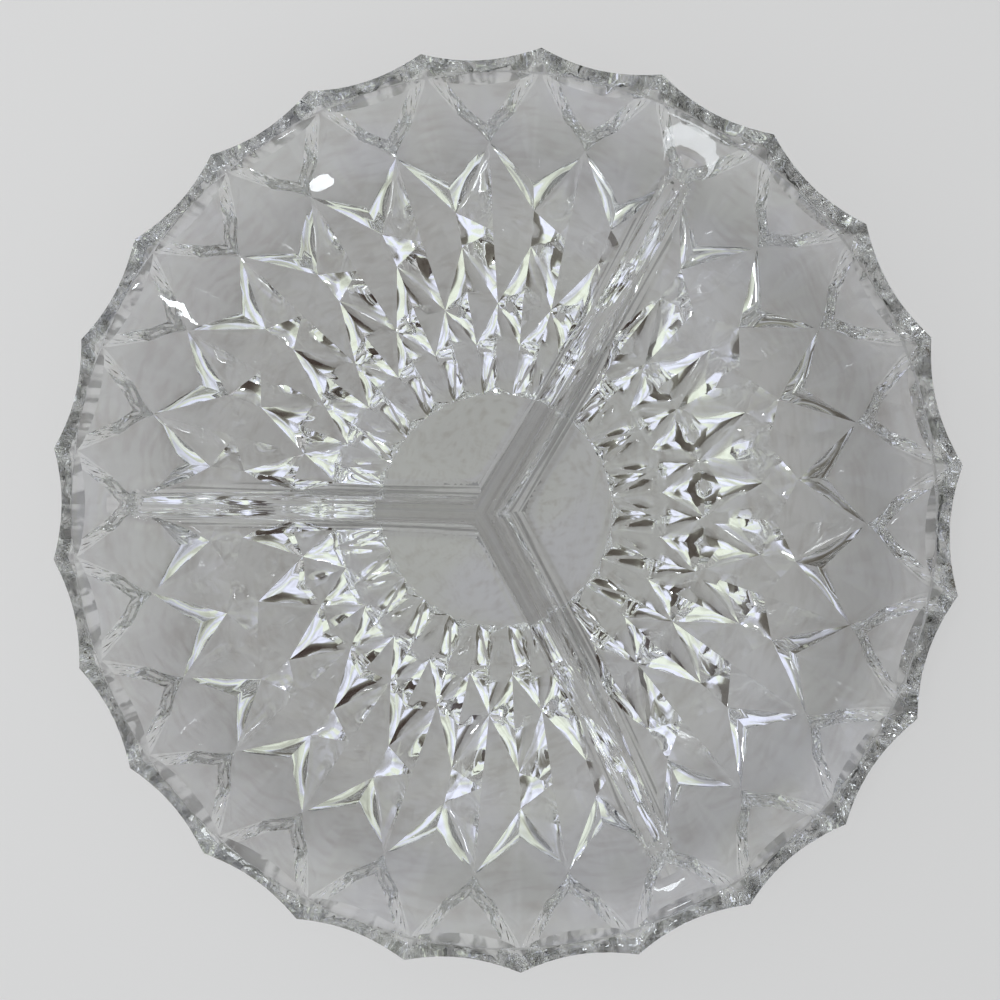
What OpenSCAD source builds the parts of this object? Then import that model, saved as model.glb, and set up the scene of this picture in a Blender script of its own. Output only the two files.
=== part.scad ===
// Round divided relish tray in pressed clear glass.
// The bowl is smooth inside and cut with facets outside, with three dividers that meet in a hub.
// Millimetres, +Z up. The origin is the middle of the underside, on the surface the tray stands on.

/* [Tray] */
// Diameter over the tips of the scalloped rim
tray_d = 254; // [220:1:290]
// Height from the table to the top of the rim
tray_h = 44; // [38:0.5:52]
// Thickness of the glass at the middle of the floor
floor_t = 6; // [5:0.1:9]
// Diameter of the flat part of the floor inside
floor_d = 60; // [50:1:66]
// Number of lobes round the tray
lobe_count = 24; // [18:6:30]

/* [Foot] */
// Diameter of the flat foot over its corners
foot_d = 75; // [70:1:84]
// Width of the flat edge round the plain disc in the middle of the foot
foot_edge_w = 1.2; // [0.8:0.1:3]
// Width of the small sloping triangles round the foot
toe_w = 2.4; // [2:0.1:4]
// Height of the small sloping triangles round the foot
toe_h = 4.1; // [3:0.1:4.3]

/* [Cut pattern] */
// Glass left in the middle of the flutes round the foot
flute_t = 2.2; // [1.8:0.1:3.5]
// Glass left in the middle of the small kites above the flutes
kite_t = 2.4; // [1.8:0.1:3.5]
// Glass left in the middle of the long panels
panel_t = 2.2; // [1.8:0.1:3.5]
// Glass left at the lower ends of the large diamonds
diamond_t = 3; // [2.2:0.1:4.5]
// Glass left at the upper ends of the large diamonds
diamond_end_t = 6.2; // [5.5:0.1:7]
// Glass left in the scoops between the rim's tips
scoop_t = 2; // [1.8:0.1:2.6]
// How much thicker than the floor the glass is where two flutes and a kite meet
foot_ridge_swell = 1.6; // [0.6:0.1:1.6]
// Glass where two kites, a flute and a panel meet
ring_ridge_t = 9.2; // [8:0.1:10]
// Glass at the lower ends of the ridges between the panels
panel_ridge_t = 10.4; // [9:0.1:11.5]
// Glass at the upper ends of the ridges between the panels
side_ridge_t = 10.9; // [9.5:0.1:12]
// Glass where two diamonds and a panel meet
corner_t = 8.4; // [7.2:0.1:9]
// Glass at the corners of the bands below the scoops
band_t = 6.4; // [5.6:0.1:7]
// Glass under the crests beside the scoops
crest_t = 6.4; // [5.6:0.1:7]

/* [Rim] */
// Width of the flat lip at the bottom of a scallop
lip_w = 3.5; // [2.5:0.1:5]
// Depth of a scallop below the tips
scallop = 3.6; // [2:0.1:5]
// Height of the rim band
rim_h = 6; // [4:0.5:9]

/* [Dividers] */
// Height of the dividers where they meet at the hub
hub_h = 30.5; // [24:0.5:36]
// Distance below the top of the rim at which the dividers run out into the wall
divider_drop = 6; // [1:0.5:7]
// Thickness of a divider at the floor
divider_foot_w = 10; // [8:0.5:14]
// Thickness of a divider below its rounded top
divider_top_w = 6; // [4:0.5:7.5]
// Diameter of the hub at the floor
hub_foot_d = 15; // [13:0.5:22]
// Diameter of the hub at its top
hub_top_d = 10; // [8.5:0.5:12]
// Length over which a divider's top sweeps up to the wall
divider_sweep = 34; // [20:1:45]

/* [Hidden] */

glass = [0.85, 0.89, 0.87];
// Directions of the three compartments and of the three dividers
compartment_a = [0, 120, 240];
divider_a = [180, 60, 300];
sector_a = 120;
$fn = 240;

// Place of the seams between the compartments, as a share of half a lobe past a divider's middle
seam_share = 0.5;

// How far the cutting solids run past what they cut
overrun = 1;

tip_r = tray_d / 2;
valley_r = tip_r - scallop;
cavity_r = valley_r - lip_w;
floor_r = floor_d / 2;
foot_r = foot_d / 2;
half_a = 180 / lobe_count;
foot_flat_r = foot_r * cos(half_a);
disc_r = foot_flat_r - foot_edge_w;
// Half lobes in a slice: those of a compartment, and a whole lobe more at each side
half_cells = 2 * lobe_count * sector_a / 360 + 4;
slice_a = half_cells * half_a;
seam_a = half_a * seam_share;

// The wall's inside is an arc that leaves the flat floor smoothly and ends at the lip
cavity_rise = tray_h - floor_t;
cavity_run = cavity_r - floor_r;
arc_a = 2 * atan(cavity_rise / cavity_run);
arc_r = cavity_run / sin(arc_a);
arc_z = floor_t + arc_r;

// Angles, about the arc's centre, at which the cut pattern begins and ends
foot_a = asin((foot_r - floor_r) / (arc_r + floor_t));
tip_a = atan2(tip_r - floor_r, arc_z - tray_h);

// Heights of the pattern's points up the wall, as shares of the pattern's angle
flute_share = 0.15;
foot_ridge_share = 0.155;
ring_share = 0.278;
kite_share = 0.29;
panel_ridge_share = 0.451;
panel_share = 0.5;
side_ridge_share = 0.553;
diamond_share = 0.645;
corner_share = 0.745;
band_share = 0.77;
scoop_start_share = 0.81;
crest_share = 0.83;
scoop_share = 0.846;
diamond_end_share = 0.88;
// Places across half a lobe, as shares from a panel's middle line to the next tip
crest_across_share = 0.55;
scoop_across_share = 0.29;
lip_across_shares = [1 / 3, 2 / 3];

foot_ridge_t = floor_t + foot_ridge_swell;

// Radius and height of a point at an angle up the arc, with a thickness of glass
function arc_point(a, t) = [floor_r + (arc_r + t) * sin(a), arc_z - (arc_r + t) * cos(a)];
function row_point(share, t) = arc_point(foot_a + (tip_a - foot_a) * share, t);
// Radius and height of the lip's edge, which dips between two tips
function lip_point(across) = [valley_r + scallop * pow(across, 2), tray_h];
function turned(a, p) = [p[0] * cos(a), p[0] * sin(a), p[1]];

// The points on a panel's middle line, from the foot to the lip
middle_points = [
  [foot_flat_r, 0],
  [foot_flat_r + toe_w, toe_h],
  row_point(flute_share, flute_t),
  row_point(ring_share, ring_ridge_t),
  row_point(panel_share, panel_t),
  row_point(corner_share, corner_t),
  row_point(band_share, band_t),
  row_point(scoop_start_share, scoop_t),
  lip_point(0)
];
// The points on the line of a tip, from the foot to the lip
tip_points = [
  [foot_r, 0],
  row_point(foot_ridge_share, foot_ridge_t),
  row_point(kite_share, kite_t),
  row_point(panel_ridge_share, panel_ridge_t),
  row_point(side_ridge_share, side_ridge_t),
  row_point(diamond_share, diamond_t),
  row_point(diamond_end_share, diamond_end_t),
  lip_point(1)
];
// The points between the two lines, each with its place across the half lobe
between_points = [
  [crest_across_share, row_point(crest_share, crest_t)],
  [scoop_across_share, row_point(scoop_share, scoop_t)],
  for (across = lip_across_shares) [across, lip_point(across)]
];
middle_n = len(middle_points);
tip_n = len(tip_points);
between_n = len(between_points);

// Point numbers in a slice, by half lobe and by place in the lists above
function line_start(k) = ceil(k / 2) * middle_n + floor(k / 2) * tip_n;
between_start = line_start(half_cells + 1);
axis_foot = between_start + between_n * half_cells;
axis_top = axis_foot + 1;
function middle(k, i) = line_start(k + k % 2) + i;
function tip(k, i) = line_start(k + 1 - k % 2) + i;
function between(k, i) = between_start + k * between_n + i;
function flipped(face) = [for (i = [len(face) - 1:-1:0]) face[i]];

// The facets of half a lobe, from the foot to the lip
function half_lobe(k) = [
  // foot and its sloping triangle
  [axis_foot, middle(k, 0), tip(k, 0)],
  [middle(k, 0), middle(k, 1), tip(k, 0)],
  // flute
  [tip(k, 0), middle(k, 1), middle(k, 2)],
  [tip(k, 0), middle(k, 2), tip(k, 1)],
  [tip(k, 1), middle(k, 2), middle(k, 3)],
  // small kite
  [tip(k, 1), middle(k, 3), tip(k, 2)],
  [middle(k, 3), tip(k, 3), tip(k, 2)],
  // long panel
  [middle(k, 3), middle(k, 4), tip(k, 3)],
  [tip(k, 3), middle(k, 4), tip(k, 4)],
  [tip(k, 4), middle(k, 4), middle(k, 5)],
  // large diamond
  [tip(k, 4), middle(k, 5), tip(k, 5)],
  [middle(k, 5), middle(k, 6), between(k, 0)],
  [middle(k, 5), between(k, 0), tip(k, 5)],
  [tip(k, 5), between(k, 0), tip(k, 6)],
  [tip(k, 6), between(k, 0), tip(k, 7)],
  // band below the scoop
  [middle(k, 6), middle(k, 7), between(k, 1)],
  [middle(k, 6), between(k, 1), between(k, 0)],
  [between(k, 0), between(k, 1), between(k, 3)],
  [between(k, 0), between(k, 3), tip(k, 7)],
  // scoop
  [middle(k, 7), middle(k, 8), between(k, 1)],
  [between(k, 1), middle(k, 8), between(k, 2)],
  [between(k, 1), between(k, 2), between(k, 3)],
  // top
  [axis_top, between(k, 2), middle(k, 8)],
  [axis_top, between(k, 3), between(k, 2)],
  [axis_top, tip(k, 7), between(k, 3)]
];

// Over a third of the tray as a solid slice, cut with facets outside and not yet hollowed
module slice() {
  points = [
    for (k = [0:half_cells], p = k % 2 == 0 ? middle_points : tip_points)
      turned(k * half_a - slice_a / 2, p),
    for (k = [0:half_cells - 1], p = between_points)
      turned((k + (k % 2 == 0 ? p[0] : 1 - p[0])) * half_a - slice_a / 2, p[1]),
    [0, 0, 0],
    [0, 0, tray_h]
  ];
  faces = [
    for (k = [0:half_cells - 1], face = half_lobe(k)) k % 2 == 0 ? face : flipped(face),
    [axis_top, for (i = [middle_n - 1:-1:0]) i, axis_foot],
    [axis_foot, for (i = [0:middle_n - 1]) line_start(half_cells) + i, axis_top]
  ];
  polyhedron(points, faces);
}

// The third of the tray that belongs to a compartment, cut from the slice by its two seams
module third(a) {
  reach = 2 * tip_r;
  rotate(a)
    intersection() {
      slice();
      translate([0, 0, -overrun])
        linear_extrude(tray_h + 2 * overrun)
          polygon([
            [0, 0],
            for (turn = [-sector_a / 2, 0, sector_a / 2])
              reach * [cos(turn + seam_a), sin(turn + seam_a)]
          ]);
    }
}

// The space inside the bowl, open at the top
module cavity() {
  rotate_extrude()
    difference() {
      intersection() {
        union() {
          translate([0, floor_t])
            square([floor_r, cavity_rise + overrun]);
          translate([floor_r, arc_z])
            circle(arc_r);
        }
        square([tip_r, tray_h + overrun]);
      }
      translate([0, -overrun])
        square([tip_r, floor_t + overrun]);
    }
}

// All heights from one level up to another, over the whole tray
module layer(from_z, to_z) {
  translate([0, 0, from_z])
    cylinder(r = tip_r + overrun, h = to_z - from_z);
}

module plain_disc(from_z) {
  translate([0, 0, from_z])
    cylinder(r = disc_r, h = tray_h - from_z);
}

module wall(a) {
  color(glass)
    difference() {
      third(a);
      cavity();
      plain_disc(-overrun);
      layer(tray_h - rim_h, tray_h + overrun);
    }
}

module rim(a) {
  color(glass)
    difference() {
      intersection() {
        third(a);
        layer(tray_h - rim_h, tray_h + overrun);
      }
      cavity();
    }
}

module foot_disc() {
  color(glass)
    difference() {
      plain_disc(0);
      cavity();
    }
}

// Half the thickness of a divider at a height
divider_slope = (divider_foot_w - divider_top_w) / 2 / (hub_h - floor_t);
function divider_half(z) = divider_foot_w / 2 - (z - floor_t) * divider_slope;
// Radius of the cavity at a height
function cavity_r_at(z) = floor_r + sqrt(pow(arc_r, 2) - pow(arc_z - z, 2));
divider_end_h = tray_h - divider_drop;
divider_end_r = cavity_r_at(divider_end_h);
divider_rise_r = divider_end_r - divider_sweep;
// Height of a divider's top at a distance from the axis
function divider_top(x) =
  hub_h + (divider_end_h - hub_h) * pow(max(0, x - divider_rise_r) / divider_sweep, 2);
divider_round = divider_top_w / 2;
round_steps = 8;
sweep_steps = 10;
// Distances from the axis of a divider's sections: one at the axis, the rest along its sweep
divider_x = [0, for (i = [0:sweep_steps]) divider_rise_r + divider_sweep * i / sweep_steps, tip_r];

// A divider's section: straight drafted sides and a rounded top
function divider_section(x) =
  let (shoulder = divider_top(x) - divider_round)
  let (half = divider_half(shoulder))
  [
    [x, divider_half(0), 0],
    for (i = [0:round_steps])
      let (a = 180 * i / round_steps)
      [x, half * cos(a), shoulder + divider_round * sin(a)],
    [x, -divider_half(0), 0]
  ];

module divider_blade() {
  sections = [for (x = divider_x) divider_section(x)];
  n = len(sections[0]);
  last = len(sections) - 1;
  points = [for (section = sections, p = section) p];
  faces = [
    [for (i = [0:n - 1]) i],
    [for (i = [n - 1:-1:0]) last * n + i],
    for (k = [0:last - 1], i = [0:n - 1])
      let (a = k * n + i, b = k * n + (i + 1) % n)
      each [[a, a + n, b], [b, a + n, b + n]]
  ];
  polyhedron(points, faces);
}

module hub_post() {
  translate([0, 0, floor_t])
    cylinder(d1 = hub_foot_d, d2 = hub_top_d, h = hub_h - floor_t);
}

module divider(a) {
  color(glass)
    difference() {
      intersection() {
        rotate(a) divider_blade();
        cavity();
      }
      hub_post();
    }
}

module divider_hub() {
  color(glass) hub_post();
}

foot_disc();
wall(compartment_a[0]);  // wall_right
wall(compartment_a[1]);  // wall_upper_left
wall(compartment_a[2]);  // wall_lower_left
rim(compartment_a[0]);  // rim_right
rim(compartment_a[1]);  // rim_upper_left
rim(compartment_a[2]);  // rim_lower_left
divider(divider_a[0]);  // divider_left
divider(divider_a[1]);  // divider_upper_right
divider(divider_a[2]);  // divider_lower_right
divider_hub();
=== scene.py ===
import math

import bpy
import numpy as np
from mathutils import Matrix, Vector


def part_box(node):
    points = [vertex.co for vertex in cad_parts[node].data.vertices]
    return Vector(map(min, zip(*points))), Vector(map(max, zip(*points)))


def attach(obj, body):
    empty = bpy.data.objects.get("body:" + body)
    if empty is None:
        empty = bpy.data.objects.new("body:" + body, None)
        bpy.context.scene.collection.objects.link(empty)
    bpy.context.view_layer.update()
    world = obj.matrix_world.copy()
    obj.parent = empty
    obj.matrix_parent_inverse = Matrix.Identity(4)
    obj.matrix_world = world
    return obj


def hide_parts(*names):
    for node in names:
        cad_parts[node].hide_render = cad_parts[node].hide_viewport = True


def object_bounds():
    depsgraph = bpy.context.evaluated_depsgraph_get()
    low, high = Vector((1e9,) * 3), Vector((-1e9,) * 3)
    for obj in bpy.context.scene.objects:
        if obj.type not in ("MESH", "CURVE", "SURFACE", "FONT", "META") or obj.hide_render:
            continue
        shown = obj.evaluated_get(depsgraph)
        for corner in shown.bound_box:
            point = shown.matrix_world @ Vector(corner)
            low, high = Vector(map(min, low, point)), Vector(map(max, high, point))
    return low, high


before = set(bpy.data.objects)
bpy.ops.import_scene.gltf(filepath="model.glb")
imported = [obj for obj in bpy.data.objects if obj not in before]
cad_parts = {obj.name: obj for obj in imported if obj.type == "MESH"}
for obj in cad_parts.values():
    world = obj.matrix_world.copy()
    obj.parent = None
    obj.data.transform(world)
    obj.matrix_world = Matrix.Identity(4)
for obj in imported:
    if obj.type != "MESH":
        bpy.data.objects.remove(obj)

# The whole tray is one clear pressing, so one closed piece of glass stands for all the CAD nodes.
# Lengths below are in millimetres, as in the part's source, and meshes are in metres.
MM = 0.001
cad_low, cad_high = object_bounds()

# ---------------------------------------------------------------- sizes of the tray

lobe_count = 24
half_lobe_a = math.pi / lobe_count
lip_steps = 6

tray_h = cad_high.z / MM
tip_r = cad_high.x / MM / math.cos(half_lobe_a)
hub_low, hub_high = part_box("divider_hub")
floor_t = hub_low[2] / MM
hub_h = hub_high[2] / MM
divider_end_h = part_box("divider_left")[1][2] / MM
disc_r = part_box("foot_disc")[1][0] / MM

scallop = 3.6
lip_w = 3.5
floor_r = 30
foot_edge_w = 1.2
toe_w = 2.4
toe_h = 4.1
flute_t = 2.2
kite_t = 2.4
panel_t = 2.2
diamond_t = 3
diamond_end_t = 6.2
scoop_t = 2
foot_ridge_swell = 1.6
ring_ridge_t = 9.2
panel_ridge_t = 10.4
side_ridge_t = 10.9
corner_t = 8.4
band_t = 6.4
crest_t = 6.4
# Swell of the plain facets' middles, roughness of the crinkled bands, and cuts along a facet's edge for both
facet_swell = 0.28
crumple = 0.45
facet_cuts = 4
# Roundness of the sharp creases and of the mouth's edge
edge_round = 0.2
mouth_round = 0.25
crease_a = math.radians(24)
# Shape of the lip's inner edge, a small step down to the flat of the lip
lip_step_w = 0.7
lip_step_h = 0.5
# The steep edge below the lip
rim_wall_h = 6.5
rim_wall_draft = 2.8
# Points closer than these become one
merge_gap = 0.02
inside_merge_gap = 0.002
# Faces that meet at less than these angles are shaded as one surface
cut_smooth_a = math.radians(9)
inside_smooth_a = math.radians(30)

# The numbers of the tray's materials: plain glass, the crinkled bands, the fluted lip, the streaked dividers
PLAIN, CRINKLED, FLUTED, STREAKED = 0, 1, 2, 3

valley_r = tip_r - scallop
cavity_r = valley_r - lip_w
foot_flat_r = disc_r + foot_edge_w
foot_r = foot_flat_r / math.cos(half_lobe_a)

arc_a = 2 * math.atan((tray_h - floor_t) / (cavity_r - floor_r))
arc_r = (cavity_r - floor_r) / math.sin(arc_a)
arc_z = floor_t + arc_r
foot_a = math.asin((foot_r - floor_r) / (arc_r + floor_t))
tip_a = math.atan2(tip_r - floor_r, arc_z - tray_h)

divider_foot_w = 10
divider_top_w = 6
divider_sweep = 34
divider_round = divider_top_w / 2
divider_slope = (divider_foot_w - divider_top_w) / 2 / (hub_h - floor_t)
divider_fillet = 4.5
# Over this length a divider's end fades into the even spacing of the bowl's points
divider_fade = 14
divider_end_r = floor_r + math.sqrt(arc_r ** 2 - (arc_z - divider_end_h) ** 2)


def row_point(share, glass):
    """Radius and height of a point on the outside, at a share of the way up the cut pattern."""
    angle = foot_a + (tip_a - foot_a) * share
    return floor_r + (arc_r + glass) * math.sin(angle), arc_z - (arc_r + glass) * math.cos(angle)


def lip_point(across):
    """Radius and height of the scalloped edge, from a valley (0) to a tip (1)."""
    return valley_r + scallop * across ** 2, tray_h


def bowl_height(r):
    """Height of the smooth inside at a radius."""
    if r <= floor_r:
        return floor_t
    return arc_z - math.sqrt(max(0.0, arc_r ** 2 - (r - floor_r) ** 2))


# ---------------------------------------------------------------- modelling helpers

def deselect_everything():
    if bpy.context.mode != "OBJECT":
        bpy.ops.object.mode_set(mode="OBJECT")
    bpy.ops.object.select_all(action="DESELECT")


def take_up(piece):
    """Makes a piece the only one selected, and the active one."""
    deselect_everything()
    piece.select_set(True)
    bpy.context.view_layer.objects.active = piece


def edit_all(piece):
    take_up(piece)
    bpy.ops.object.mode_set(mode="EDIT")
    bpy.ops.mesh.select_all(action="SELECT")


def leave_edit():
    bpy.ops.object.mode_set(mode="OBJECT")


def apply_modifier(piece, kind, **settings):
    take_up(piece)
    modifier = piece.modifiers.new(kind.lower(), kind)
    for name, value in settings.items():
        setattr(modifier, name, value)
    bpy.ops.object.modifier_apply(modifier=modifier.name)


def repeat_round(piece, count):
    """Copies a piece's mesh round the axis to make the full circle, and closes its seams."""
    edit_all(piece)
    bpy.ops.mesh.spin(steps=count - 1, dupli=True, angle=2 * math.pi * (count - 1) / count,
                      center=(0, 0, 0), axis=(0, 0, 1))
    bpy.ops.mesh.select_all(action="SELECT")
    bpy.ops.mesh.remove_doubles(threshold=merge_gap * MM)
    leave_edit()


def select_edges(piece, wanted):
    """Selects, in edge mode, the edges for which wanted(edge, its two points) is true."""
    take_up(piece)
    bpy.ops.object.mode_set(mode="EDIT")
    bpy.ops.mesh.select_mode(type="EDGE")
    bpy.ops.mesh.select_all(action="DESELECT")
    leave_edit()
    mesh = piece.data
    for edge in mesh.edges:
        a, b = (mesh.vertices[i].co for i in edge.vertices)
        edge.select = bool(wanted(edge, a, b))
    bpy.ops.object.mode_set(mode="EDIT")


def open_edges(mesh):
    """Whether each edge has only one face."""
    uses = np.zeros(len(mesh.edges), dtype=int)
    for polygon in mesh.polygons:
        for key in range(polygon.loop_start, polygon.loop_start + polygon.loop_total):
            uses[mesh.loops[key].edge_index] += 1
    return uses == 1


def crease_angles(mesh):
    """Angle between the two faces at each edge, or 0 where there aren't two, or among crinkles."""
    faces = [[] for _ in mesh.edges]
    for polygon in mesh.polygons:
        for key in range(polygon.loop_start, polygon.loop_start + polygon.loop_total):
            faces[mesh.loops[key].edge_index].append(polygon)
    return [f[0].normal.angle(f[1].normal, 0)
            if len(f) == 2 and (f[0].material_index, f[1].material_index) != (CRINKLED, CRINKLED) else 0.0
            for f in faces]


def bevel_selected(size):
    bpy.ops.mesh.bevel(offset=size * MM, offset_type="OFFSET", segments=2, profile=0.5,
                       affect="EDGES", clamp_overlap=True)
    leave_edit()


# ---------------------------------------------------------------- the cut outside

# A place on the cut outside is (across, up, glass): across half a lobe from a panel's middle (0) to the
# next tip (1), up the wall from the foot (0) to the tips (1), and the glass left there.
foot_middle = ("foot", 0, foot_flat_r, 0)
foot_corner = ("foot", 1, foot_r, 0)
toe = ("foot", 0, foot_flat_r + toe_w, toe_h)
flute = (0, 0.15, flute_t)
foot_ridge = (1, 0.155, floor_t + foot_ridge_swell)
ring_ridge = (0, 0.278, ring_ridge_t)
kite = (1, 0.29, kite_t)
panel_ridge = (1, 0.451, panel_ridge_t)
panel = (0, 0.5, panel_t)
side_ridge = (1, 0.553, side_ridge_t)
diamond = (1, 0.645, diamond_t)
diamond_end = (1, 0.88, diamond_end_t)
corner = (0, 0.745, corner_t)
band_corner = (0, 0.77, band_t)
crest = (0.55, 0.83, crest_t)
scoop_start = (0, 0.81, scoop_t)
scoop = (0.29, 0.846, scoop_t)


def cut_place(place):
    """The point, in metres, of a place on the cut outside."""
    if place[0] == "foot":
        _, across, r, z = place
    elif place[0] == "lip":
        across = place[1]
        r, z = lip_point(across)
        z -= lip_step_h
    elif place[0] == "rim":
        across = place[1]
        r, z = lip_point(across)
        r, z = r - rim_wall_draft, z - lip_step_h - rim_wall_h
    elif place[0] == "step":
        across, r, z = place[1], cavity_r + lip_step_w, tray_h - lip_step_h
    elif place[0] == "mouth":
        across, r, z = place[1], cavity_r, tray_h
    else:
        across, up, glass = place
        r, z = row_point(up, glass)
    a = across * half_lobe_a
    return r * math.cos(a) * MM, r * math.sin(a) * MM, z * MM


def work_facets(outside, facets, kinds):
    """Divides the triangular facets finely, swells the plain ones a little and crumples the crinkled ones.
    Their edges stay straight."""
    take_up(outside)
    bpy.ops.object.mode_set(mode="EDIT")
    bpy.ops.mesh.select_mode(type="FACE")
    bpy.ops.mesh.select_all(action="DESELECT")
    leave_edit()
    for polygon in outside.data.polygons[:len(facets)]:
        polygon.select = True
    bpy.ops.object.mode_set(mode="EDIT")
    bpy.ops.mesh.subdivide(number_cuts=facet_cuts)
    leave_edit()
    chance = np.random.default_rng(7)
    for (a, b, c), kind in zip(np.array(facets), kinds):
        across = np.cross(b - a, c - a)
        size = np.linalg.norm(across)
        outward = across / size * (-1 if across[2] > 0 else 1)
        for vertex in outside.data.vertices:
            p = np.array(vertex.co)
            shares = [np.dot(np.cross(edge, p - start), across) / size ** 2
                      for edge, start in ((c - b, b), (a - c, c), (b - a, a))]
            off_facet = abs(np.dot(p - a, outward)) > 0.001 * MM
            if off_facet or min(shares) < 0.01:
                continue
            if kind == CRINKLED:
                rise = crumple * chance.uniform(-1, 1)
            else:
                rise = facet_swell * 27 * np.prod(shares)
            vertex.co = p + outward * rise * MM


def make_cut_outside(glass_kinds):
    """The facets of half a lobe, mirrored and repeated round the tray."""
    rim = [("rim", i / lip_steps) for i in range(lip_steps + 1)]
    lip = [("lip", i / lip_steps) for i in range(lip_steps + 1)]
    step = [("step", i / lip_steps) for i in range(lip_steps + 1)]
    mouth = [("mouth", i / lip_steps) for i in range(lip_steps + 1)]
    at_scoop = lip_steps * 2 // 3

    faces = [
        [foot_middle, toe, foot_corner],
        [foot_corner, toe, flute],
        [foot_corner, flute, foot_ridge],
        [foot_ridge, flute, ring_ridge],
        [foot_ridge, ring_ridge, kite],
        [ring_ridge, panel_ridge, kite],
        [ring_ridge, panel, panel_ridge],
        [panel_ridge, panel, side_ridge],
        [side_ridge, panel, corner],
        [side_ridge, corner, diamond],
        [corner, band_corner, crest],
        [corner, crest, diamond],
        [diamond, crest, diamond_end],
        [diamond_end, crest, rim[-1]],
    ]
    kinds = [PLAIN] * len(faces)
    faces += [
        [band_corner, scoop_start, scoop],
        [band_corner, scoop, crest],
        [crest, scoop, rim[at_scoop]],
    ]
    faces += [[crest, rim[i], rim[i + 1]] for i in range(at_scoop, lip_steps)]
    kinds += [CRINKLED] * (len(faces) - len(kinds))
    worked = len(faces)
    faces += [[scoop_start, rim[0], scoop]]
    faces += [[scoop, rim[i], rim[i + 1]] for i in range(at_scoop)]
    kinds += [PLAIN] * (len(faces) - len(kinds))
    for low, high, kind in ((rim, lip, FLUTED), (lip, step, FLUTED), (step, mouth, PLAIN)):
        faces += [[low[i], high[i], high[i + 1], low[i + 1]] for i in range(lip_steps)]
        kinds += [kind] * lip_steps

    points, loops = [], []
    for face in faces:
        loops.append(list(range(len(points), len(points) + len(face))))
        points += [cut_place(place) for place in face]
    mesh = bpy.data.meshes.new("cut_outside")
    mesh.from_pydata(points, [], loops)
    for material in glass_kinds:
        mesh.materials.append(material)
    mesh.polygons.foreach_set("material_index", kinds)
    outside = bpy.data.objects.new("cut_outside", mesh)
    bpy.context.scene.collection.objects.link(outside)
    edit_all(outside)
    bpy.ops.mesh.remove_doubles(threshold=merge_gap * MM)
    bpy.ops.mesh.normals_make_consistent(inside=False)
    leave_edit()
    work_facets(outside, [[cut_place(place) for place in face] for face in faces[:worked]], kinds)
    apply_modifier(outside, "MIRROR", use_axis=(False, True, False), merge_threshold=merge_gap * MM)
    repeat_round(outside, lobe_count)

    single = open_edges(outside.data)
    select_edges(outside, lambda e, a, b: single[e.index] and max(a.z, b.z) < 1e-6)
    bpy.ops.mesh.edge_face_add()
    bpy.ops.mesh.select_all(action="SELECT")
    bpy.ops.mesh.normals_make_consistent(inside=False)
    leave_edit()
    angles = crease_angles(outside.data)
    select_edges(outside, lambda e, a, b: angles[e.index] > crease_a)
    bevel_selected(edge_round)
    take_up(outside)
    bpy.ops.object.shade_smooth_by_angle(angle=cut_smooth_a)
    return outside


# ---------------------------------------------------------------- the smooth inside

# Points across half a wedge: on the divider and its fillet, and on the bowl beyond
near_steps = 28
far_steps = 20
corner_start_a = math.radians(25)
corner_end_a = math.radians(60)
corner_width = 0.74
# Height above the bowl from which glass counts as a divider
divider_start = 0.3


def corner_tables():
    """Width, as a share of the radius, against the angle from a divider, rounded into the hub's corners."""
    angle = np.linspace(0, corner_end_a, 400)
    span = corner_end_a - corner_start_a
    s = np.clip((angle - corner_start_a) / span, 0, 1)
    blend = ((2 * s ** 3 - 3 * s ** 2 + 1) * math.sin(corner_start_a)
             + (s ** 3 - 2 * s ** 2 + s) * span * math.cos(corner_start_a)
             + (3 * s ** 2 - 2 * s ** 3) * corner_width)
    return angle, np.where(angle < corner_start_a, np.sin(angle), blend)


corner_angles, corner_widths = corner_tables()


def divider_top(r):
    """Height of a divider's top at a radius, with its end swept up to the wall."""
    rise = max(0.0, r - (divider_end_r - divider_sweep)) / divider_sweep
    return hub_h + (divider_end_h - hub_h) * rise ** 2


def divider_outline(r):
    """Half of a divider's section at a radius: distances from its mid-plane, and heights."""
    floor = bowl_height(r)
    top = divider_top(r)
    height = max(0.0, top - floor)
    rounding = min(divider_round, 0.45 * height)
    fillet = min(divider_fillet, 0.5 * height)
    shoulder = top - rounding
    turn = np.linspace(0, math.pi / 2, 40)

    def half(level):
        return divider_foot_w / 2 - (level - floor_t) * divider_slope

    width = [half(shoulder) * math.sin(t) for t in turn]
    z = [shoulder + rounding * math.cos(t) for t in turn]
    for level in np.linspace(shoulder, floor + fillet, 40)[1:]:
        width.append(half(level))
        z.append(level)
    for t in turn[1:]:
        level = floor + fillet * (1 - math.sin(t))
        width.append(half(level) + fillet * (1 - math.cos(t)))
        z.append(level)
    return np.array(width), np.array(z), floor


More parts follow.
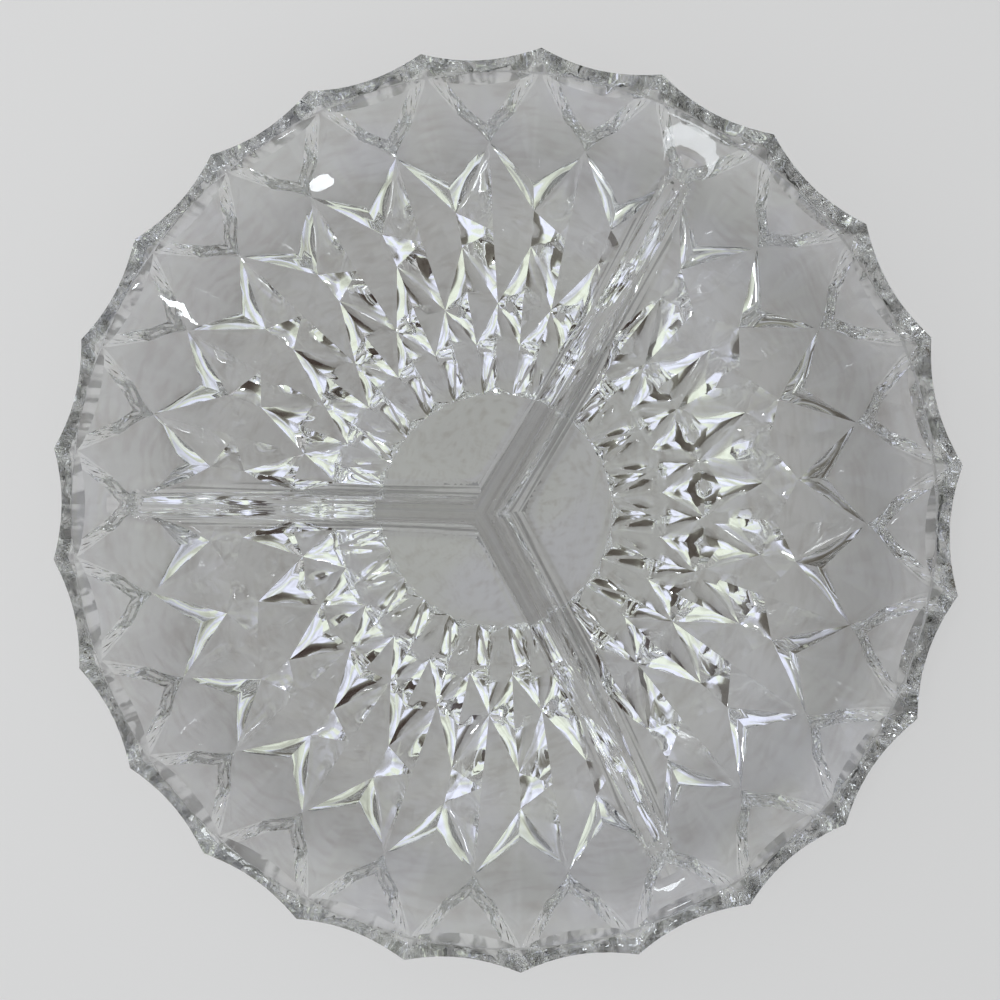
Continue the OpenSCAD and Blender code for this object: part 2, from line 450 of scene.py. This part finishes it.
def inside_ring(r):
    """Angles from a divider, and heights, of the points across one wedge of the inside."""
    steps = near_steps + far_steps
    even = np.linspace(0, corner_end_a, steps + 1)
    if r >= divider_end_r:
        return even, np.full(steps + 1, bowl_height(r))
    width, z, floor = divider_outline(r)
    reach = r * corner_width
    near_w = min(width[-1], 0.75 * reach)
    fine_w = np.linspace(0, near_w, 600)
    fine_z = np.interp(fine_w, width, z)
    length = np.concatenate([[0], np.cumsum(np.hypot(np.diff(fine_w), np.diff(fine_z)))])
    near = np.interp(np.linspace(0, length[-1], near_steps + 1), length, fine_w)
    near_angle = np.interp(near / r, corner_widths, corner_angles)
    far_angle = np.linspace(near_angle[-1], corner_end_a, far_steps + 1)[1:]
    angle = np.concatenate([near_angle, far_angle])
    share = np.clip((r - (divider_end_r - divider_fade)) / divider_fade, 0, 1)
    share = share * share * (3 - 2 * share)
    angle = angle * (1 - share) + even * share
    across = r * np.interp(angle, corner_angles, corner_widths)
    height = np.interp(across, width, z, right=floor)
    return angle, height


def inside_radii():
    """Radii of the rings of points, closest at the hub and at the dividers' ends."""
    stations = [
        np.linspace(0, 12, 25)[:-1],
        np.linspace(12, 30, 13)[:-1],
        np.linspace(30, divider_end_r - 18, 26)[:-1],
        np.linspace(divider_end_r - 18, divider_end_r, 21)[:-1],
        np.linspace(divider_end_r, cavity_r, 6),
    ]
    return np.concatenate(stations)


def make_smooth_inside(glass_kinds):
    """The bowl's inside with its dividers: one wedge, mirrored on a divider and repeated three times."""
    radii = inside_radii()
    steps = near_steps + far_steps
    deselect_everything()
    bpy.ops.mesh.primitive_grid_add(x_subdivisions=steps, y_subdivisions=len(radii) - 1, size=1)
    inside = bpy.context.object
    inside.name = "smooth_inside"
    inside.data.name = "smooth_inside"
    points = []
    for r in radii:
        angles, heights = inside_ring(max(r, 1e-3))
        for a, z in zip(angles, heights):
            points.append((r * math.cos(a) * MM, r * math.sin(a) * MM, z * MM))
    inside.data.vertices.foreach_set("co", np.array(points, dtype=np.float32).ravel())
    inside.data.update()
    apply_modifier(inside, "MIRROR", use_axis=(False, True, False), merge_threshold=inside_merge_gap * MM)
    edit_all(inside)
    bpy.ops.mesh.remove_doubles(threshold=inside_merge_gap * MM)
    leave_edit()
    turn = math.radians(60)
    co = np.empty(len(inside.data.vertices) * 3, dtype=np.float32)
    inside.data.vertices.foreach_get("co", co)
    co = co.reshape(-1, 3)
    turned = co.copy()
    turned[:, 0] = co[:, 0] * math.cos(turn) - co[:, 1] * math.sin(turn)
    turned[:, 1] = co[:, 0] * math.sin(turn) + co[:, 1] * math.cos(turn)
    inside.data.vertices.foreach_set("co", turned.ravel())
    inside.data.update()
    repeat_round(inside, 3)
    for material in glass_kinds:
        inside.data.materials.append(material)
    for polygon in inside.data.polygons:
        x, y, z = polygon.center / MM
        if z > bowl_height(math.hypot(x, y)) + divider_start:
            polygon.material_index = STREAKED
    take_up(inside)
    bpy.ops.object.shade_smooth_by_angle(angle=inside_smooth_a)
    return inside


# ---------------------------------------------------------------- one closed piece of glass

def make_tray(glass_kinds):
    """Joins the outside and the inside at the mouth."""
    tray = make_cut_outside(glass_kinds)
    inside = make_smooth_inside(glass_kinds)
    take_up(tray)
    inside.select_set(True)
    bpy.ops.object.join()
    tray.name = "glass_tray"
    tray.data.name = "glass_tray"
    edit_all(tray)
    bpy.ops.mesh.remove_doubles(threshold=merge_gap * MM)
    bpy.ops.mesh.normals_make_consistent(inside=False)
    leave_edit()

    top = (tray_h - 0.01) * MM
    select_edges(tray, lambda e, a, b: min(a.z, b.z) > top)
    bevel_selected(mouth_round)
    return tray


# ---------------------------------------------------------------- node maths

class Socket:
    """An output of a node, with sums on it written as plain Python."""

    def __init__(self, tree, socket=None):
        self.tree = tree
        self.socket = socket

    def node(self, kind, settings=None, values=None, out=0):
        """Adds a node: its settings first, then the values or links of its inputs."""
        made = self.tree.nodes.new(kind)
        for name, value in (settings or {}).items():
            setattr(made, name, value)
        for name, value in (values or {}).items():
            if isinstance(value, Socket):
                self.tree.links.new(value.socket, made.inputs[name])
            else:
                made.inputs[name].default_value = value
        return Socket(self.tree, made.outputs[out] if made.outputs else None)

    def math(self, operation, a, b):
        return self.node("ShaderNodeMath", {"operation": operation}, {0: a, 1: b})

    def __add__(self, other):
        return self.math("ADD", self, other)

    def __sub__(self, other):
        return self.math("SUBTRACT", self, other)

    def __rsub__(self, other):
        return self.math("SUBTRACT", other, self)

    def __mul__(self, other):
        return self.math("MULTIPLY", self, other)

    def __pow__(self, other):
        return self.math("POWER", self, other)

    __radd__ = __add__
    __rmul__ = __mul__


def smooth_step(tree, value, low, high, most=1.0):
    """Goes softly from 0 to most while a value goes from low to high."""
    return tree.node("ShaderNodeMapRange", {"interpolation_type": "SMOOTHSTEP"},
                     {"Value": value, "From Min": low, "From Max": high, "To Max": most})


def mix_colours(tree, factor, a, b, blend="MIX"):
    return tree.node("ShaderNodeMix", {"data_type": "RGBA", "blend_type": blend},
                     {"Factor": factor, "A": a, "B": b}, out=2)


def empty_tree(owner):
    """Clears the nodes of a material or a world."""
    owner.use_nodes = True
    owner.node_tree.nodes.clear()
    return Socket(owner.node_tree)


# ---------------------------------------------------------------- materials

glass_ior = 1.52
plain_tint = (0.90, 0.90, 0.895, 1.0)
wrinkle_tint = (0.78, 0.76, 0.74, 1.0)
clear_tint = (1.0, 1.0, 1.0, 1.0)
# Colour of the painted dark reflections along the crinkles, flutes and streaks
painted_reflection_tint = (0.17, 0.17, 0.165, 1.0)
# Painted shade multiplied into the outer ring of the bowl
outer_painted_shade_tint = (0.72, 0.72, 0.73, 1.0)
# Painted shade multiplied into the dividers' tops near the hub
hub_painted_shade_tint = (0.55, 0.54, 0.53, 1.0)
shadow_tint = (0.86, 0.86, 0.855, 1.0)
# Radii, in metres, between which the painted shade of the outer ring, and the painted shade on the dividers'
# tops near the hub, come in
painted_shade_ring = (0.084, 0.112)
hub_shade_radii = (0.046, 0.034)
# Distances from a divider's mid-plane, in metres, between which its top turns into its side
divider_shoulder = (0.0032, 0.0042)
# Noise values between which the painted dark reflections come in, along the streaks and along the other
# lines
streak_edge = (0.48, 0.56)
painted_reflection_edge = (0.43, 0.6)


def make_clear_glass(name, crinkle=0.0, fluting=0.0, streak=0.0, painted_reflections=0.0, clear=0.0):
    """Clear pressed glass: waves from the mould, and faint grey wrinkles round the bowl.
    Crinkles lie any way, flutes are patches on the lip, and streaks run along the dividers.
    Their lines are darkened as painted dark reflections, by the amount given after streak, and clear is how
    little of the plain tints, and of the painted shade in the outer ring, they have. The streaked dividers
    also get painted shade on their tops near the hub."""
    glass = bpy.data.materials.new(name)
    tree = empty_tree(glass)

    def noise(vector, scale=1.0, detail=1.0):
        return tree.node("ShaderNodeTexNoise", None,
                         {"Vector": vector, "Scale": scale, "Detail": detail, "Roughness": 0.5})

    def plane(x, y):
        return tree.node("ShaderNodeCombineXYZ", None, {"X": x, "Y": y, "Z": 0.0})

    place = tree.node("ShaderNodeTexCoord", out="Object")
    x = tree.node("ShaderNodeSeparateXYZ", None, {"Vector": place}, out="X")
    y = tree.node("ShaderNodeSeparateXYZ", None, {"Vector": place}, out="Y")
    radius = (x * x + y * y) ** 0.5
    around = tree.math("ARCTAN2", y, x)
    third = 2 * math.pi / 3
    from_divider = tree.math("FLOORED_MODULO", around, third) - third / 2
    aside = radius * tree.math("SINE", from_divider, 0.0)

    slow = noise(place, 34.0)
    quick = noise(place, 160.0, 2.0)
    crinkles = noise(place, 520.0)
    flutes = noise(plane(radius * 150.0 + quick * 2.5, around * 26.0 + slow * 4.0), detail=1.5)
    streaks = noise(plane(aside * 900.0, radius * 16.0))
    wrinkles = noise(plane(radius * 420.0 + slow * 5.0, around * 9.0), detail=2.0)

    height = slow + quick * 0.12 + crinkles * crinkle + flutes * fluting + streaks * streak
    bump = tree.node("ShaderNodeBump", None, {"Strength": 0.12, "Distance": 0.0016, "Height": height})
    haze = quick ** 3.0 * 0.10 + 0.004

    lines = crinkles if crinkle else flutes if fluting else streaks
    # Painted dark reflections: dark lines on the crinkles, flutes or streaks
    line = smooth_step(tree, lines, *(streak_edge if streak else painted_reflection_edge), painted_reflections)
    # Share of the way from a divider's top to its side: the painted dark reflections are weaker on the top,
    # and the painted shade near the hub lies on the top only
    off_top = smooth_step(tree, tree.math("ABSOLUTE", aside, 0.0), *divider_shoulder)
    if streak:
        line = line * (off_top * 0.75 + 0.25)
    # Painted shade: the glass darkens from 84 to 112 mm out, so the floor seen through it reads as shaded as
    # under the middle. Clear takes it away.
    outer_shade = smooth_step(tree, radius, *painted_shade_ring, 1 - clear)
    # Painted shade: within 46 mm of the middle, the streaked dividers' tops are darkened while their sides
    # stay lighter
    hub = smooth_step(tree, radius, *hub_shade_radii, min(streak, 1.0)) * (1 - off_top)

    tint = mix_colours(tree, smooth_step(tree, wrinkles, 0.48, 0.7), plain_tint, wrinkle_tint)
    tint = mix_colours(tree, clear, tint, clear_tint)
    # Painted dark reflections over the glass's tint
    tint = mix_colours(tree, line, tint, painted_reflection_tint)
    # Painted shade of the outer ring
    tint = mix_colours(tree, outer_shade, tint, outer_painted_shade_tint, "MULTIPLY")
    # Painted shade on the dividers' tops near the hub
    tint = mix_colours(tree, hub, tint, hub_painted_shade_tint, "MULTIPLY")
    body = tree.node("ShaderNodeBsdfPrincipled", None, {
        "Base Color": tint,
        "Roughness": haze,
        "IOR": glass_ior,
        "Transmission Weight": 1.0,
        "Normal": bump,
    })
    through = tree.node("ShaderNodeBsdfTransparent", None, {"Color": shadow_tint})
    shadow = tree.node("ShaderNodeLightPath", out="Is Shadow Ray")
    surface = tree.node("ShaderNodeMixShader", None, {0: shadow, 1: body, 2: through})
    tree.node("ShaderNodeOutputMaterial", None, {"Surface": surface})
    return glass


# In metres: the floor's radius, and how far it lies below the foot
floor_size = 4.0
floor_gap = 0.0002


def make_floor():
    deselect_everything()
    bpy.ops.mesh.primitive_circle_add(vertices=96, radius=floor_size, fill_type="NGON",
                                      location=(0, 0, -floor_gap))
    floor = bpy.context.object
    floor.name = "plain_floor"
    paint = bpy.data.materials.new("plain_pale_floor")
    tree = empty_tree(paint)
    body = tree.node("ShaderNodeBsdfPrincipled", None, {
        "Base Color": (0.66, 0.66, 0.66, 1.0), "Roughness": 0.9, "Specular IOR Level": 0.1})
    tree.node("ShaderNodeOutputMaterial", None, {"Surface": body})
    floor.data.materials.append(paint)


# ---------------------------------------------------------------- light and camera

cool_light = (1.0, 1.05, 1.27, 1.0)
green_light = (0.94, 1.02, 0.88, 1.0)
grey_shade = (0.29, 0.29, 0.25, 1.0)
brown_shade = (0.045, 0.03, 0.024, 1.0)
backdrop = (0.65, 0.65, 0.65, 1.0)
floor_share = 0.42


def make_world():
    """Surroundings in soft bright and grey patches for the glass to mirror, dark brown low on the left and
    in two spots above. The camera and the floor see a plain backdrop instead."""
    world = bpy.data.worlds.new("studio")
    bpy.context.scene.world = world
    tree = empty_tree(world)
    direction = tree.node("ShaderNodeTexCoord", out="Generated")
    height = tree.node("ShaderNodeSeparateXYZ", None, {"Vector": direction}, out="Z")
    patches = tree.node("ShaderNodeTexNoise", None,
                        {"Vector": direction, "Scale": 3.2, "Detail": 2.5, "Roughness": 0.55})
    hues = tree.node("ShaderNodeTexNoise", None,
                     {"Vector": direction, "Scale": 4.5, "Detail": 0.0}, out="Color")
    hue = tree.node("ShaderNodeSeparateColor", None, {"Color": hues}, out="Green")

    def spot(direction_to, near, far):
        """One at a direction, falling to none between two angles from it, in degrees."""
        facing = tree.node("ShaderNodeVectorMath", {"operation": "DOT_PRODUCT"},
                           {0: direction, 1: Vector(direction_to).normalized()}, out="Value")
        return smooth_step(tree, facing, math.cos(math.radians(far)), math.cos(math.radians(near)))

    dark = (spot((-0.82, -0.12, 0.53), 9, 27) * 0.7
            + spot((0.32, 0.42, 0.85), 10, 29)
            + spot((0.32, -0.42, 0.85), 10, 29))
    low = smooth_step(tree, height * -1.0, -0.3, -0.12)
    bright = smooth_step(tree, patches - dark * 0.55 - low * 0.1, 0.22, 0.6)
    lit = mix_colours(tree, smooth_step(tree, hue, 0.42, 0.58), cool_light, green_light)
    shade = mix_colours(tree, dark, grey_shade, brown_shade)
    tone = mix_colours(tree, bright, shade, lit)
    camera = tree.node("ShaderNodeLightPath", out="Is Camera Ray")
    matt = tree.node("ShaderNodeLightPath", out="Is Diffuse Ray")
    around = tree.node("ShaderNodeBackground", None, {"Color": tone, "Strength": 1.0})
    plain = tree.node("ShaderNodeBackground", None,
                      {"Color": backdrop, "Strength": 1 - matt * (1 - floor_share)})
    both = tree.node("ShaderNodeMixShader", None, {0: camera + matt, 1: around, 2: plain})
    tree.node("ShaderNodeOutputWorld", None, {"Surface": both})


def add_softbox(name, location, size, power, colour=(1.0, 1.0, 1.0)):
    """An oval lamp, in metres and watts, that faces the middle of the tray's foot."""
    lamp = bpy.data.lights.new(name, "AREA")
    lamp.shape = "ELLIPSE"
    lamp.size, lamp.size_y = size
    lamp.energy = power
    lamp.color = colour
    thing = bpy.data.objects.new(name, lamp)
    bpy.context.scene.collection.objects.link(thing)
    thing.location = location
    thing.rotation_euler = (-Vector(location)).to_track_quat("-Z", "Y").to_euler()
    return thing


def make_camera():
    """Looks down on the tray from where the photo was taken."""
    camera = bpy.data.objects.new("camera", bpy.data.cameras.new("camera"))
    bpy.context.scene.collection.objects.link(camera)
    camera.location = (44.7 * MM, 12.3 * MM, 281 * MM)
    camera.rotation_euler = (math.radians(-1.63), math.radians(8.83), math.radians(1.24))
    camera.data.sensor_width = 36
    camera.data.lens = 31.68
    camera.data.clip_start = 0.005
    bpy.context.scene.camera = camera


# ---------------------------------------------------------------- the scene

# The crinkled, fluted and streaked glass get painted dark reflections along their lines. The plain glass,
# and a little of the fluted, get the painted shade of the outer ring. The streaked glass also gets painted
# shade on the dividers' tops near the hub.
tray = make_tray([
    make_clear_glass("clear_pressed_glass"),
    make_clear_glass("crinkled_pressed_glass", crinkle=1.0, painted_reflections=0.1, clear=1.0),
    make_clear_glass("fluted_glass_painted_reflections", fluting=3.0, painted_reflections=0.85, clear=0.8),
    make_clear_glass("streaked_glass_painted_reflections_and_shade", streak=5.0, painted_reflections=0.75, clear=1.0),
])
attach(tray, "root")
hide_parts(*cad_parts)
make_floor()
make_world()
key = add_softbox("key_softbox", (-0.25, 0.2, 1.9), (0.9, 0.9), 26.4)
key.visible_glossy = False
key.visible_transmission = False
for name, place, size, power in (
    ("strip_right_front", (0.47, -0.44, 0.69), (0.015, 0.16), 0.2),
    ("patch_front", (0.15, -0.66, 0.66), (0.045, 0.055), 0.1),
    ("patch_left_front", (-0.5, -0.62, 0.44), (0.10, 0.14), 0.25),
    ("patch_left_back", (-0.52, 0.57, 0.52), (0.05, 0.07), 0.1),
):
    add_softbox(name, place, size, power, (0.9, 0.95, 1.0))
make_camera()

scene = bpy.context.scene
scene.view_settings.view_transform = "Standard"
scene.cycles.max_bounces = 24
scene.cycles.transmission_bounces = 24
scene.cycles.glossy_bounces = 12
scene.cycles.caustics_reflective = False
scene.cycles.caustics_refractive = False
